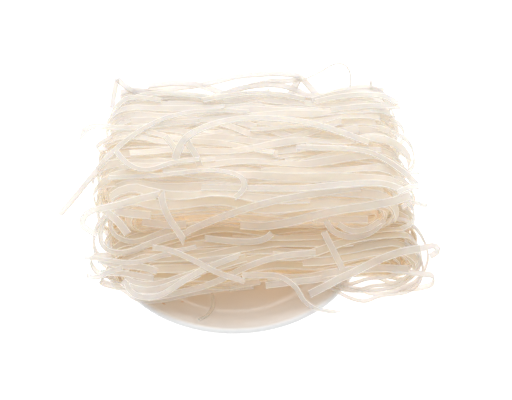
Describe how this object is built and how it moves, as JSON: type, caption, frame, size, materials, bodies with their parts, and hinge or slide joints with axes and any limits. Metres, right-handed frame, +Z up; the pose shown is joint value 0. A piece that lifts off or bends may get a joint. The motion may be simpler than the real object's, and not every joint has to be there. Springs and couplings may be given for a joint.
{
  "type": "bundle of dry flat rice noodles on a dish",
  "caption": "Two folded hanks of dry flat rice noodles, stacked and lying across the rim of a small shallow white dish.",
  "frame": {"origin": "centre of the dish's flat base, on the surface that it stands on", "axes": "+Z up, +X along the noodles to the viewer's right, -Y towards the viewer"},
  "size_m": [0.2277, 0.1617, 0.0972],
  "materials": {
    "noodle": "dry rice starch, translucent cream white, satin",
    "dish_glaze": "plain white gloss glaze"
  },
  "bodies": {
    "root": {"noodle_bundle": "noodle", "dish": "dish_glaze"}
  },
  "joints": []
}
